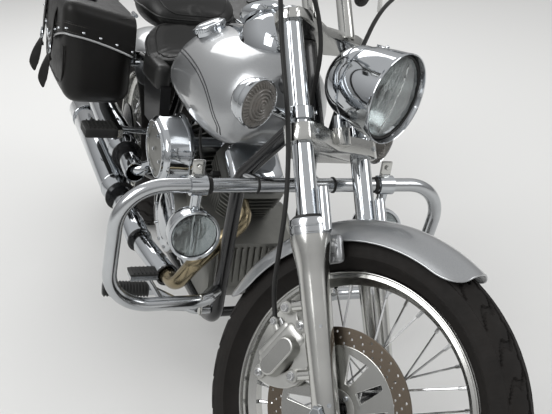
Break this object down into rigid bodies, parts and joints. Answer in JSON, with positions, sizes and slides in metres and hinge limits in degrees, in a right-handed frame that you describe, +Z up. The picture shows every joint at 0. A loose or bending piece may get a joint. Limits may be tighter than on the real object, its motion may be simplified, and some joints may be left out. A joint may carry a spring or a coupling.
{
  "type": "cruiser motorcycle",
  "caption": "Cruiser motorcycle with laced wheels, raked fork, twin finned cylinders, crash bar, round lamps and leather side bags, leaning on its side stand.",
  "frame": {"origin": "on the ground below the middle of the parked motorcycle's box", "axes": "+X forward, +Y to the rider's left, +Z up; the motorcycle leans about 10 degrees to +Y and its fork is turned left to the stop"},
  "size_m": [2.2823, 0.9181, 1.412],
  "materials": {
    "tyre": "tread rubber",
    "rim": "polished rim, hub and spokes",
    "bronze_disc": "drilled disc",
    "cast_alloy": "satin cast alloy",
    "chrome": "chrome plate",
    "silver_paint": "silver metallic paint",
    "black_paint": "black enamel",
    "black_leather": "studded black leather",
    "black_vinyl": "stitched black vinyl",
    "rubber": "ribbed rubber",
    "lens": "clear lens",
    "engine": "dark finned alloy"
  },
  "bodies": {
    "front_wheel": {"front_tyre": "tyre", "front_wheel": "rim", "front_disc": "bronze_disc"},
    "fork": {"fork_sliders": "cast_alloy", "fork_tubes": "chrome", "lower_clamp": "cast_alloy", "upper_clamp": "cast_alloy", "front_fender": "silver_paint", "brake_caliper": "black_paint", "headlight_shell": "chrome", "headlight_lens": "lens", "front_signals": "chrome", "front_signal_lenses": "lens", "handlebar": "chrome", "grips": "rubber", "control_levers": "chrome", "mirrors": "chrome", "cables": "rubber"},
    "chassis": {"frame": "black_paint", "swingarm": "black_paint", "rear_fender": "silver_paint", "fender_rails": "chrome", "rear_lamps": "chrome", "fuel_tank": "silver_paint", "tank_console": "chrome", "fuel_cap": "chrome", "rider_seat": "black_vinyl", "passenger_seat": "black_vinyl", "side_covers": "silver_paint", "crankcase": "engine", "cylinders": "engine", "rocker_covers": "chrome", "air_cleaner": "chrome", "exhaust_headers": "chrome", "mufflers": "chrome", "engine_guard": "chrome", "spot_lamps": "chrome", "spot_lenses": "lens", "foot_controls": "black_paint", "right_bag": "black_leather", "left_bag": "black_leather", "bag_hinges": "chrome"},
    "rear_wheel": {"rear_tyre": "tyre", "rear_wheel": "rim"},
    "right_lid": {"right_bag_lid": "black_leather"},
    "left_lid": {"left_bag_lid": "black_leather"},
    "side_stand": {"side_stand": "black_paint"}
  },
  "joints": [
    {"name": "steering", "type": "hinge", "parent": "chassis", "child": "fork", "pos_m": [0.80978, -0.09702, 0.28419], "axis": [-0.5512, 0.144, 0.8219], "range_deg": [-68, 0]},
    {"name": "front_wheel_spin", "type": "hinge", "parent": "fork", "child": "front_wheel", "pos_m": [0.84294, -0.06672, 0.30112], "axis": [-0.468, 0.7621, -0.4474], "continuous": true},
    {"name": "rear_wheel_spin", "type": "hinge", "parent": "chassis", "child": "rear_wheel", "pos_m": [-0.76014, -0.09323, 0.32105], "axis": [-0.0017, 0.9848, -0.1736], "continuous": true},
    {"name": "side_stand_fold", "type": "hinge", "parent": "chassis", "child": "side_stand", "pos_m": [0.14343, 0.01576, 0.17012], "axis": [-0.0236, 0.7314, 0.6815], "range_deg": [0, 98]},
    {"name": "right_lid_open", "type": "hinge", "parent": "chassis", "child": "right_lid", "pos_m": [-0.75546, -0.17028, 0.79968], "axis": [-1, 0, 0.0098], "range_deg": [0, 90]},
    {"name": "left_lid_open", "type": "hinge", "parent": "chassis", "child": "left_lid", "pos_m": [-0.756, 0.14289, 0.74446], "axis": [1, 0, -0.0098], "range_deg": [0, 90]}
  ]
}
